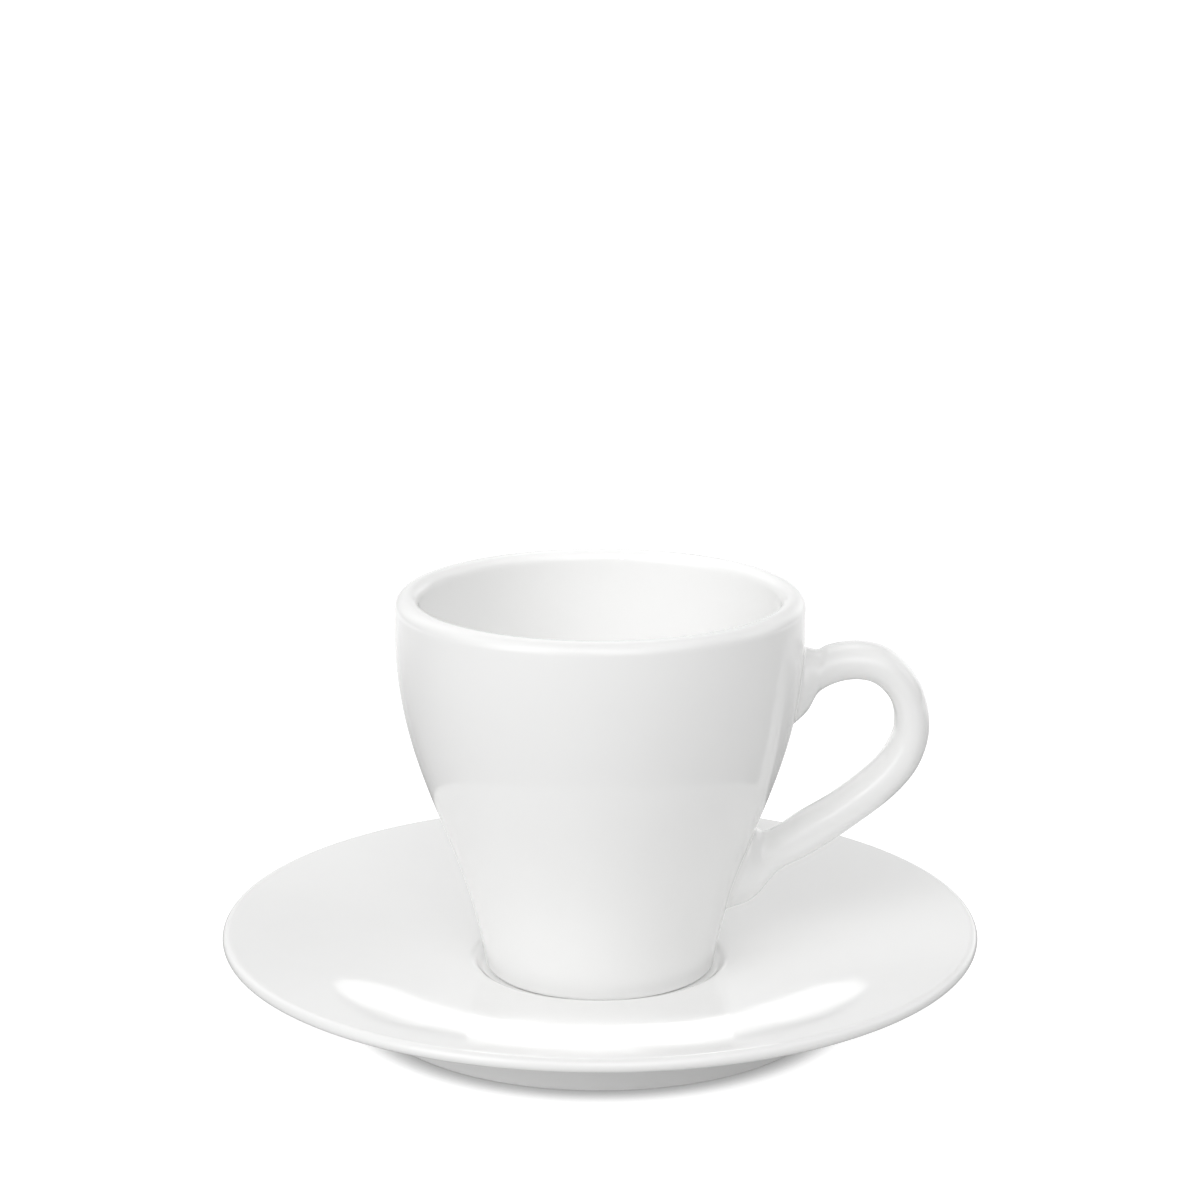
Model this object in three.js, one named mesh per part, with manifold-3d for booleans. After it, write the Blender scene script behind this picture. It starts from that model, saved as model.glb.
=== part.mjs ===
// Espresso cup and saucer in white glazed porcelain.
// Millimetres, +Z up. The origin is on the turning axis, on the table under the saucer's foot ring.
// The cup stands in the saucer's well, and its handle points along +X.
import * as THREE from "three";
import { mergeVertices } from "three/addons/utils/BufferGeometryUtils.js";
import Module from "manifold-3d";

// Saucer
const SAUCER_RADIUS = 60;
const SAUCER_HEIGHT = 14.1;
const SAUCER_EDGE_RADIUS = 1;
const SAUCER_FLOOR_THICKNESS = 4.2;
const SAUCER_FOOT_RADIUS = 37.3;
const SAUCER_FOOT_WIDTH = 3;
const SAUCER_FOOT_HEIGHT = 4.6;
const SAUCER_FOOT_DRAFT = 0.7;
const SAUCER_FOOT_EDGE_RADIUS = 0.6;
const UNDERSIDE_FOOT_SLOPE = THREE.MathUtils.degToRad(45);
const UNDERSIDE_FOOT_PULL = 2.5;
const DISH_RIM_SLOPE = THREE.MathUtils.degToRad(10.5);
const DISH_WELL_SLOPE = THREE.MathUtils.degToRad(7);

// Well that takes the cup's foot
const WELL_FLOOR_HEIGHT = 6.9;
const WELL_DEPTH = 1.2;
const WELL_CLEARANCE = 1;
const WELL_WALL_RUN = 1.1;

// Cup body
const CUP_HEIGHT = 60.9;
const CUP_RADIUS = 32.15;
const CUP_BASE_RADIUS = 18.15;
const CUP_LIP_THICKNESS = 3.85;
const CUP_LIP_INNER_RADIUS = 1.8;
const CUP_STRAIGHT_BELOW_LIP = 2.2;
const CUP_FLOOR_THICKNESS = 5.8;
const CUP_SHOULDER_PULL = 25;
const CUP_WAIST_PULL = 24;
const CUP_WAIST_SLOPE = THREE.MathUtils.degToRad(8.5);
const BOWL_WALL_PULL = 30;
const BOWL_FLOOR_PULL = 15.5;
const CUP_FOOT_WIDTH = 3.2;
const CUP_FOOT_RECESS = 1.2;
const CUP_FOOT_EDGE_RADIUS = 0.9;

// Handle: an ear-shaped strap that spreads into a pad at each end
const HANDLE_REACH = 17;
const HANDLE_WIDTH = 8.8;
const HANDLE_THICKNESS = 5.8;
const HANDLE_ROUNDNESS = 2.3;
const HANDLE_ROOT_DEPTH = 6;
const PAD_SIDE_FLARE = 1.2;
const PAD_FLARE_REACH = 3.5;
// Heights at which the edges of the two pads meet the cup's wall
const UPPER_PAD_TOP_BELOW_LIP = 8.9;
const UPPER_PAD_BOTTOM_BELOW_LIP = 21;
const LOWER_PAD_TOP_ABOVE_BASE = 22.7;
const LOWER_PAD_BOTTOM_ABOVE_BASE = 9.3;
// Sections of the strap from the upper pad round to the lower one. Out is the share of the way from
// the cup's wall to the outermost point, and up from the lower pad's middle to the upper pad's. A
// section leans by degrees above the outward direction and swells past the strap's thickness.
const HANDLE_SECTIONS = [
  { out: 0.099, up: 1.025, lean: 78.5, swell: 1.705 },
  { out: 0.19, up: 1.092, lean: 77, swell: 1.265 },
  { out: 0.442, up: 1.135, lean: 70.5, swell: 1.065 },
  { out: 0.708, up: 1.107, lean: 60.5, swell: 0.975 },
  { out: 0.926, up: 0.976, lean: 36, swell: 0.925 },
  { out: 0.996, up: 0.787, lean: 6, swell: 0.955 },
  { out: 0.937, up: 0.635, lean: -23, swell: 1.01 },
  { out: 0.816, up: 0.508, lean: -45, swell: 1.02 },
  { out: 0.548, up: 0.321, lean: -59, swell: 1.02 },
  { out: 0.335, up: 0.189, lean: -72.5, swell: 1.125 },
  { out: 0.199, up: 0.104, lean: -89.5, swell: 1.17 },
  { out: 0.11, up: 0.01, lean: -100, swell: 1.895 },
];

// Slip that joins each pad to the body, and the gap that is left on both sides of it
const SLIP_THICKNESS = 0.4;
const SLIP_GAP = 0.2;

// Fineness of the round and swept surfaces, and the share of its run that pulls a curve evenly
const TURNING_STEPS = 60;
const WALL_STEPS = 14;
const DISH_STEPS = 8;
const EDGE_STEPS = 4;
const HANDLE_RINGS = 52;
const HANDLE_SIDES = 20;
const EVEN_PULL = 1 / 3;
const HALVINGS = 40;
const WELD = 1e-3;

const wasm = await Module();
wasm.setup();

const glaze = { color: 0xf5f5f3, roughness: 0.1, metalness: 0 };
const slip = { color: 0xecebe6, roughness: 0.5, metalness: 0 };

// A point of a turned outline: its distance from the axis and its height.
const at = (radius, height) => new THREE.Vector2(radius, height);

// A step of a given length from a point of an outline, at an angle above the outward direction.
const stepFrom = (point, length, angle) =>
  at(point.x + length * Math.cos(angle), point.y + length * Math.sin(angle));

// A round stretch of an outline, with its angles in degrees.
const arc = (centre, radius, from, to) =>
  new THREE.EllipseCurve(
    centre.x,
    centre.y,
    radius,
    radius,
    THREE.MathUtils.degToRad(from),
    THREE.MathUtils.degToRad(to),
    to < from,
  );

// Joins sampled curves and single points into one outline, without the points that meet twice.
function outline(...stretches) {
  const points = stretches.flatMap((stretch) =>
    stretch.isVector2 ? [stretch] : stretch.curve.getPoints(stretch.steps),
  );
  return points.filter((point, i) => i === 0 || point.distanceTo(points[i - 1]) > WELD);
}

// Turns an outline about +Z. It runs outwards below and inwards above.
const turned = (points) => new THREE.LatheGeometry(points, TURNING_STEPS).rotateX(Math.PI / 2);

// A closed geometry as a solid that can be cut.
function solidOf(geometry) {
  const bare = geometry.clone();
  bare.deleteAttribute("normal");
  bare.deleteAttribute("uv");
  const merged = mergeVertices(bare, WELD);
  const corners = [...merged.index.array];
  const triangles = [];
  for (let i = 0; i < corners.length; i += 3) {
    const triangle = corners.slice(i, i + 3);
    if (new Set(triangle).size === 3) triangles.push(...triangle);
  }
  return new wasm.Manifold(
    new wasm.Mesh({
      numProp: 3,
      vertProperties: new Float32Array(merged.attributes.position.array),
      triVerts: new Uint32Array(triangles),
    }),
  );
}

// A cut solid as a geometry again.
function geometryOf(solid) {
  const mesh = solid.getMesh();
  const geometry = new THREE.BufferGeometry();
  geometry.setAttribute("position", new THREE.BufferAttribute(mesh.vertProperties, mesh.numProp));
  geometry.setIndex(new THREE.BufferAttribute(mesh.triVerts, 1));
  geometry.computeVertexNormals();
  return geometry;
}

function namedMesh(name, geometry, finish) {
  const mesh = new THREE.Mesh(geometry, new THREE.MeshStandardMaterial(finish));
  mesh.name = name;
  return mesh;
}

// Saucer: recess, foot ring, underside, rounded rim, dish and well, from the axis round to the axis.
function saucerOutline() {
  const recessHeight = WELL_FLOOR_HEIGHT - SAUCER_FLOOR_THICKNESS;
  const footInner = SAUCER_FOOT_RADIUS - SAUCER_FOOT_WIDTH;
  const footEdge = SAUCER_FOOT_EDGE_RADIUS;
  const footTop = at(SAUCER_FOOT_RADIUS + SAUCER_FOOT_DRAFT, SAUCER_FOOT_HEIGHT);
  const rimCentre = at(SAUCER_RADIUS - SAUCER_EDGE_RADIUS, SAUCER_HEIGHT - SAUCER_EDGE_RADIUS);
  const rimTop = stepFrom(rimCentre, SAUCER_EDGE_RADIUS, Math.PI / 2 + DISH_RIM_SLOPE);
  const wellFloorRadius = CUP_BASE_RADIUS + WELL_CLEARANCE;
  const wellEdge = at(wellFloorRadius + WELL_WALL_RUN, WELL_FLOOR_HEIGHT + WELL_DEPTH);
  const dishPull = (rimTop.x - wellEdge.x) * EVEN_PULL;
  const rimStart = stepFrom(rimCentre, SAUCER_EDGE_RADIUS, -Math.PI / 2 + DISH_RIM_SLOPE);
  const undersidePull = (rimStart.x - footTop.x) * EVEN_PULL;
  const underside = new THREE.CubicBezierCurve(
    footTop,
    stepFrom(footTop, UNDERSIDE_FOOT_PULL, UNDERSIDE_FOOT_SLOPE),
    stepFrom(rimStart, -undersidePull, DISH_RIM_SLOPE),
    rimStart,
  );
  const slopeDegrees = THREE.MathUtils.radToDeg(DISH_RIM_SLOPE);
  const rim = arc(rimCentre, SAUCER_EDGE_RADIUS, slopeDegrees - 90, slopeDegrees + 90);
  const footInside = arc(at(footInner + footEdge, footEdge), footEdge, 180, 270);
  const footOutside = arc(at(SAUCER_FOOT_RADIUS - footEdge, footEdge), footEdge, 270, 360);
  const dish = new THREE.CubicBezierCurve(
    rimTop,
    stepFrom(rimTop, -dishPull, DISH_RIM_SLOPE),
    stepFrom(wellEdge, dishPull, DISH_WELL_SLOPE),
    wellEdge,
  );
  return outline(
    at(0, recessHeight),
    at(footInner - SAUCER_FOOT_DRAFT, recessHeight),
    { curve: footInside, steps: EDGE_STEPS },
    { curve: footOutside, steps: EDGE_STEPS },
    { curve: underside, steps: DISH_STEPS },
    { curve: rim, steps: 2 * EDGE_STEPS },
    { curve: dish, steps: DISH_STEPS },
    at(wellFloorRadius, WELL_FLOOR_HEIGHT),
    at(0, WELL_FLOOR_HEIGHT),
  );
}

// Outside of the cup's wall, from its foot up to its lip. The cup's own heights start at its foot.
function cupWall() {
  const foot = at(CUP_BASE_RADIUS, 0);
  const lipOuterRadius = CUP_LIP_THICKNESS - CUP_LIP_INNER_RADIUS;
  const shoulder = at(CUP_RADIUS, CUP_HEIGHT - lipOuterRadius - CUP_STRAIGHT_BELOW_LIP);
  return new THREE.CubicBezierCurve(
    foot,
    stepFrom(foot, CUP_WAIST_PULL, Math.PI / 2 - CUP_WAIST_SLOPE),
    at(shoulder.x, shoulder.y - CUP_SHOULDER_PULL),
    shoulder,
  );
}

// Cup body: foot recess, foot ring, tulip wall, rounded lip and bowl, from the axis round to the axis.
function cupOutline() {
  const footEdge = CUP_FOOT_EDGE_RADIUS;
  const edgeInset = (footEdge * (1 - Math.sin(CUP_WAIST_SLOPE))) / Math.cos(CUP_WAIST_SLOPE);
  const edgeCentre = CUP_BASE_RADIUS - edgeInset;
  const edgeEnd = 360 - THREE.MathUtils.radToDeg(CUP_WAIST_SLOPE);
  const footInner = edgeCentre - CUP_FOOT_WIDTH;
  const [, ...wall] = cupWall().getPoints(WALL_STEPS);
  const lipOuterRadius = CUP_LIP_THICKNESS - CUP_LIP_INNER_RADIUS;
  const lipCentre = CUP_RADIUS - lipOuterRadius;
  const bowlTop = at(CUP_RADIUS - CUP_LIP_THICKNESS, CUP_HEIGHT - CUP_LIP_INNER_RADIUS);
  const bowl = new THREE.CubicBezierCurve(
    bowlTop,
    at(bowlTop.x, bowlTop.y - BOWL_WALL_PULL),
    at(BOWL_FLOOR_PULL, CUP_FLOOR_THICKNESS),
    at(0, CUP_FLOOR_THICKNESS),
  );
  const footOutside = arc(at(edgeCentre, footEdge), footEdge, 270, edgeEnd);
  const outerLip = arc(at(lipCentre, CUP_HEIGHT - lipOuterRadius), lipOuterRadius, 0, 90);
  const innerLip = arc(at(lipCentre, bowlTop.y), CUP_LIP_INNER_RADIUS, 90, 180);
  return outline(
    at(0, CUP_FOOT_RECESS),
    at(footInner - CUP_FOOT_RECESS, CUP_FOOT_RECESS),
    at(footInner, 0),
    { curve: footOutside, steps: EDGE_STEPS },
    ...wall,
    { curve: outerLip, steps: EDGE_STEPS },
    { curve: innerLip, steps: EDGE_STEPS },
    { curve: bowl, steps: WALL_STEPS },
  );
}

// The space inside the cup's wall, grown outwards by a margin, that pads and slip are cut back to.
function cupSpace(margin) {
  const wall = cupWall();
  const grown = [];
  for (let i = 0; i <= WALL_STEPS; i++) {
    const share = i / WALL_STEPS;
    const along = wall.getTangent(share);
    grown.push(wall.getPoint(share).add(at(along.y, -along.x).multiplyScalar(margin)));
  }
  const above = at(grown.at(-1).x, CUP_HEIGHT);
  const below = at(grown[0].x, 0);
  return solidOf(turned(outline(at(0, 0), below, ...grown, above, at(0, CUP_HEIGHT))));
}

// Radius of the cup's outside at a height above its foot.
function cupRadiusAt(height) {
  const wall = cupWall();
  let low = 0;
  let high = 1;
  for (let i = 0; i < HALVINGS; i++) {
    const middle = (low + high) / 2;
    if (wall.getPoint(middle).y < height) low = middle;
    else high = middle;
  }
  return wall.getPoint(low).x;
}

// The handle's outside and inside edges in the plane y = 0, from the upper pad round to the lower one.
function handleEdges() {
  const upperTop = CUP_HEIGHT - UPPER_PAD_TOP_BELOW_LIP;
  const upperBottom = CUP_HEIGHT - UPPER_PAD_BOTTOM_BELOW_LIP;
  const upper = (upperTop + upperBottom) / 2;
  const lower = (LOWER_PAD_TOP_ABOVE_BASE + LOWER_PAD_BOTTOM_ABOVE_BASE) / 2;
  const outermost = CUP_RADIUS + HANDLE_REACH;
  const onWall = (height) => new THREE.Vector3(cupRadiusAt(height), 0, height);
  const outside = [onWall(upperTop)];
  const inside = [onWall(upperBottom)];
  for (const { out, up, lean, swell } of HANDLE_SECTIONS) {
    const middle = onWall(THREE.MathUtils.lerp(lower, upper, up));
    middle.x = THREE.MathUtils.lerp(middle.x, outermost, out);
    const angle = THREE.MathUtils.degToRad(lean);
    const across = new THREE.Vector3(Math.cos(angle), 0, Math.sin(angle));
    const half = (swell * HANDLE_THICKNESS) / 2;
    outside.push(middle.clone().addScaledVector(across, half));
    inside.push(middle.clone().addScaledVector(across, -half));
  }
  outside.push(onWall(LOWER_PAD_BOTTOM_ABOVE_BASE));
  inside.push(onWall(LOWER_PAD_TOP_ABOVE_BASE));
  return [new THREE.CatmullRomCurve3(outside), new THREE.CatmullRomCurve3(inside)];
}

// One rounded section of the handle between its outside and inside edges. It widens near the wall.
function handleSection(outer, inner) {
  const middle = outer.clone().lerp(inner, 0.5);
  const half = outer.clone().sub(middle);
  const fromWall = middle.x - cupRadiusAt(middle.z);
  const flare = PAD_SIDE_FLARE * (1 - THREE.MathUtils.smoothstep(fromWall, 0, PAD_FLARE_REACH));
  const halfWidth = HANDLE_WIDTH / 2 + flare;
  const power = 2 / HANDLE_ROUNDNESS;
  return Array.from({ length: HANDLE_SIDES }, (_, i) => {
    const turn = (2 * Math.PI * i) / HANDLE_SIDES;
    const rise = Math.sign(Math.cos(turn)) * Math.abs(Math.cos(turn)) ** power;
    const side = Math.sign(Math.sin(turn)) * Math.abs(Math.sin(turn)) ** power;
    return middle.clone().addScaledVector(half, rise).setY(halfWidth * side);
  });
}

// Skin over a row of sections with a flat cap on each end.
function loft(sections) {
  const sides = sections[0].length;
  const last = (sections.length - 1) * sides;
  const positions = sections.flat().flatMap((point) => point.toArray());
  const faces = [];
  for (let ring = 0; ring < last; ring += sides) {
    for (let i = 0; i < sides; i++) {
      const next = (i + 1) % sides;
      faces.push(ring + i, ring + sides + next, ring + next);
      faces.push(ring + i, ring + sides + i, ring + sides + next);
    }
  }
  for (let i = 1; i < sides - 1; i++) {
    faces.push(0, i, i + 1);
    faces.push(last, last + i + 1, last + i);
  }
  const geometry = new THREE.BufferGeometry();
  geometry.setAttribute("position", new THREE.Float32BufferAttribute(positions, 3));
  geometry.setIndex(faces);
  return geometry;
}

// The whole strap before it is cut back to the cup, with both ends carried on into the wall.
function handleLoft() {
  const [outside, inside] = handleEdges();
  const sections = Array.from({ length: HANDLE_RINGS + 1 }, (_, k) => {
    const share = k / HANDLE_RINGS;
    return handleSection(outside.getPoint(share), inside.getPoint(share));
  });
  const sunk = (section) =>
    section.map((point) => point.clone().setX(point.x - HANDLE_ROOT_DEPTH));
  return loft([sunk(sections[0]), ...sections, sunk(sections.at(-1))]);
}

const saucer = namedMesh("saucer", turned(saucerOutline()), glaze);

const strap = solidOf(handleLoft());
const slipInside = cupSpace(SLIP_GAP);
const slipOutside = cupSpace(SLIP_GAP + SLIP_THICKNESS);
const padFace = cupSpace(SLIP_GAP + SLIP_THICKNESS + SLIP_GAP);
const seams = strap
  .intersect(slipOutside)
  .subtract(slipInside)
  .decompose()
  .sort((a, b) => a.boundingBox().min[2] - b.boundingBox().min[2]);

const cup = new THREE.Group();
cup.position.z = WELL_FLOOR_HEIGHT;
cup.add(
  namedMesh("cup_body", turned(cupOutline()), glaze),
  namedMesh("cup_handle", geometryOf(strap.subtract(padFace)), glaze),
  namedMesh("lower_slip_seam", geometryOf(seams[0]), slip),
  namedMesh("upper_slip_seam", geometryOf(seams[1]), slip),
);

const group = new THREE.Group();
group.add(saucer, cup);

export default group;
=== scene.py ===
"""White glazed espresso cup and saucer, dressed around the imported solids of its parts."""

import logging
import math
from collections.abc import Sequence
from dataclasses import dataclass, field
from enum import Enum

import bpy
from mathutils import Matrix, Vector


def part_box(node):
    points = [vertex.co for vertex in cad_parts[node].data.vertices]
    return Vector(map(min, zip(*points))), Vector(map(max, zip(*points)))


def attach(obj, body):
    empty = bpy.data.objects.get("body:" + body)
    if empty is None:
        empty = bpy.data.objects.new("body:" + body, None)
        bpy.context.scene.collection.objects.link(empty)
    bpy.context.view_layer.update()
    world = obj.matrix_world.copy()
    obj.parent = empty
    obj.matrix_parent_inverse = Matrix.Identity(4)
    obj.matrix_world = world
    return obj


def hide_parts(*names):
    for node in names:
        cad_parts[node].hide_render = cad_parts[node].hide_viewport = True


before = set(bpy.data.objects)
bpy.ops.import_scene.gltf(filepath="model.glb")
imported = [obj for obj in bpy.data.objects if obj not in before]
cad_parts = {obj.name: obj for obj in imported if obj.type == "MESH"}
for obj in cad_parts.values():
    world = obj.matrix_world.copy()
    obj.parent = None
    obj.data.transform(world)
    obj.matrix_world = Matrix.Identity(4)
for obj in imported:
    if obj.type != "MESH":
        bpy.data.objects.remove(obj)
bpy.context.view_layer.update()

LOG = logging.getLogger("espresso_cup")
MM = 0.001
SAME_PLACE = 1e-6

# Places of a Mix node's sockets: its factor, its two numbers, its two colours and their results.
MIX_FACTOR = 0
MIX_NUMBERS = (2, 3)
MIX_COLOURS = (6, 7)
MIX_NUMBER_OUT = 0
MIX_COLOUR_OUT = 2

Point = tuple[float, float]
Place = tuple[float, float, float]
Colour = tuple[float, float, float]
Rings = Sequence[Sequence[Vector]]


class Zone(Enum):
    """Finish of a stretch of surface; the value is its material's place on the mesh."""

    GLAZED = 0
    BARE = 1


class Side(Enum):
    """End of the handle; the value is the word that its fillet and its seam are named with."""

    UPPER = "upper"
    LOWER = "lower"


def polar(centre: Point, radius: float, degrees: float) -> Point:
    """Point at a distance and an angle from another.

    Args:
        centre: Point that the distance is measured from.
        radius: Distance in millimetres.
        degrees: Angle above the outward direction.

    Returns:
        The point as its distance from the axis and its height.
    """
    angle = math.radians(degrees)
    return centre[0] + radius * math.cos(angle), centre[1] + radius * math.sin(angle)


def cubic(points: Sequence[Point], share: float) -> Point:
    """Point of a cubic curve.

    Args:
        points: Start, two pulls and end of the curve.
        share: Share of the way along it.

    Returns:
        The point as its distance from the axis and its height.
    """
    back = 1 - share
    a, b, c, d = back**3, 3 * back * back * share, 3 * back * share * share, share**3
    (x0, y0), (x1, y1), (x2, y2), (x3, y3) = points
    return a * x0 + b * x1 + c * x2 + d * x3, a * y0 + b * y1 + c * y2 + d * y3


def smooth_line(knots: Sequence[Vector], share: float) -> Vector:
    """Point of a smooth line through knots, evenly shared among its spans.

    Args:
        knots: Points that the line passes through.
        share: Share of the spans gone by.

    Returns:
        The point of the line.
    """
    spans = len(knots) - 1
    k = min(int(share * spans), spans - 1)
    t = share * spans - k
    p1, p2 = knots[k], knots[k + 1]
    p0 = knots[k - 1] if k > 0 else 2 * p1 - p2
    p3 = knots[k + 2] if k + 2 <= spans else 2 * p2 - p1
    d0, d1, d2 = (math.sqrt((b - a).length) for a, b in ((p0, p1), (p1, p2), (p2, p3)))
    m1 = ((p1 - p0) / d0 - (p2 - p0) / (d0 + d1) + (p2 - p1) / d1) * d1
    m2 = ((p2 - p1) / d1 - (p3 - p1) / (d1 + d2) + (p3 - p2) / d2) * d1
    square, cube = t * t, t * t * t
    rest = 2 * cube - 3 * square
    return p1 * (rest + 1) + m1 * (cube - 2 * square + t) - p2 * rest + m2 * (cube - square)


def smoothstep(value: float, low: float, high: float) -> float:
    """Soft step from 0 at low to 1 at high."""
    share = min(1.0, max(0.0, (value - low) / (high - low)))
    return share * share * (3 - 2 * share)


def signed_power(value: float, power: float) -> float:
    """Power of a sine or cosine that keeps its sign, which squares an oval."""
    return math.copysign(abs(value) ** power, value)


class Profile:
    """Outline of a turned piece, from the axis below round to the axis above, in millimetres."""

    LINE_STEPS = 8

    def __init__(self, start: Point) -> None:
        """Starts the outline at a point on the axis."""
        self.points: list[Point] = [start]
        self.zones: list[Zone] = []

    def add(self, points: Sequence[Point], zone: Zone = Zone.GLAZED) -> None:
        """Adds points to the outline.

        Args:
            points: Points in order.
            zone: Finish of the surface up to each of them.
        """
        for point in points:
            if math.dist(point, self.points[-1]) > SAME_PLACE:
                self.points.append(point)
                self.zones.append(zone)

    def line(self, end: Point, zone: Zone = Zone.GLAZED) -> None:
        """Adds a straight stretch.

        Args:
            end: Point that it runs to.
            zone: Finish of its surface.
        """
        start = self.points[-1]
        shares = [k / self.LINE_STEPS for k in range(1, self.LINE_STEPS + 1)]
        self.add([tuple(a + (b - a) * s for a, b in zip(start, end)) for s in shares], zone)

    def arc(self, centre: Point, radius: float, start: float, end: float, steps: int = 10) -> None:
        """Adds a round stretch.

        Args:
            centre: Centre of the arc.
            radius: Its radius.
            start: Angle in degrees at which it starts.
            end: Angle in degrees at which it ends.
            steps: Number of straight steps in it.
        """
        self.add([polar(centre, radius, start + (end - start) * k / steps) for k in range(steps + 1)])

    def curve(self, first: Point, second: Point, end: Point, steps: int = 72) -> None:
        """Adds a cubic curve from the last point.

        Args:
            first: Pull on the start.
            second: Pull on the end.
            end: End of the curve.
            steps: Number of straight steps in it.
        """
        points = (self.points[-1], first, second, end)
        self.add([cubic(points, k / steps) for k in range(1, steps + 1)])

    def corner(self, corner: Point, after: Point, reach: float) -> None:
        """Adds a straight stretch to a corner and softens the corner.

        Args:
            corner: Where the two stretches would meet.
            after: A point that the outline heads for after the corner.
            reach: Length that the rounding takes from each stretch.
        """
        before = self.points[-1]
        self.line(self.toward(corner, before, reach))
        self.bend(corner, self.toward(corner, after, reach))

    def bend(self, corner: Point, end: Point, steps: int = 8) -> None:
        """Bends round a corner in a soft curve.

        Args:
            corner: Corner that is softened.
            end: Point at which the bend ends.
            steps: Number of straight steps in it.
        """
        start = self.points[-1]
        for k in range(1, steps + 1):
            s = k / steps
            mix = ((1 - s) ** 2, 2 * s * (1 - s), s * s)
            self.add([tuple(mix[0] * a + mix[1] * b + mix[2] * c for a, b, c in zip(start, corner, end))])

    @staticmethod
    def toward(start: Point, end: Point, length: float) -> Point:
        """Point at a length from one point towards another."""
        share = length / math.dist(start, end)
        return start[0] + (end[0] - start[0]) * share, start[1] + (end[1] - start[1]) * share


def mesh_object(
    name: str,
    points: Sequence[Sequence[float]],
    faces: Sequence[Sequence[int]],
    zones: Sequence[Zone] | None = None,
) -> bpy.types.Object:
    """Makes a smooth mesh in the scene.

    Args:
        name: Name of the piece.
        points: Corners in metres.
        faces: Faces as lists of corners.
        zones: Finish of each face, all glazed if left out.

    Returns:
        The new object.
    """
    mesh = bpy.data.meshes.new(name)
    mesh.from_pydata(points, [], faces)
    mesh.polygons.foreach_set("use_smooth", [True] * len(faces))
    if zones is not None:
        mesh.polygons.foreach_set("material_index", [zone.value for zone in zones])
    mesh.validate()
    mesh.update()
    made = bpy.data.objects.new(name, mesh)
    bpy.context.scene.collection.objects.link(made)
    return made


def turned(name: str, profile: Profile, lift: float, sectors: int = 288) -> bpy.types.Object:
    """Turns an outline about the vertical axis.

    Args:
        name: Name of the piece.
        profile: Its outline, with both ends on the axis.
        lift: Height of the outline's zero, in metres.
        sectors: Number of flats round the axis.

    Returns:
        The turned piece.
    """
    turns = [2 * math.pi * k / sectors for k in range(sectors)]
    around = [(math.cos(turn), math.sin(turn)) for turn in turns]
    inner = profile.points[1:-1]
    points = [(0.0, 0.0, profile.points[0][1] * MM + lift)]
    points += [(r * MM * c, r * MM * s, z * MM + lift) for r, z in inner for c, s in around]
    points.append((0.0, 0.0, profile.points[-1][1] * MM + lift))
    last = len(points) - 1
    rings = [1 + sectors * k for k in range(len(inner))]
    faces: list[tuple[int, ...]] = []
    zones: list[Zone] = []
    for k in range(sectors):
        n = (k + 1) % sectors
        faces.append((0, rings[0] + n, rings[0] + k))
        zones.append(profile.zones[0])
        for below, above, zone in zip(rings, rings[1:], profile.zones[1:]):
            faces.append((below + k, below + n, above + n, above + k))
            zones.append(zone)
        faces.append((rings[-1] + k, rings[-1] + n, last))
        zones.append(profile.zones[-1])
    return mesh_object(name, points, faces, zones)


class Ware:
    """Sub-assembly of fired clay, made of one or more pieces."""

    def build(self) -> list[bpy.types.Object]:
        """Makes the pieces and seats them in the frame."""
        raise NotImplementedError

    def dressed(self, finishes: Sequence[bpy.types.Material]) -> list[bpy.types.Object]:
        """Builds the pieces and gives them their finishes.

        Args:
            finishes: Materials in the order of the zones.

        Returns:
            The finished pieces.
        """
        pieces = self.build()
        for piece in pieces:
            for finish in finishes:
                piece.data.materials.append(finish)
        return pieces


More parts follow.
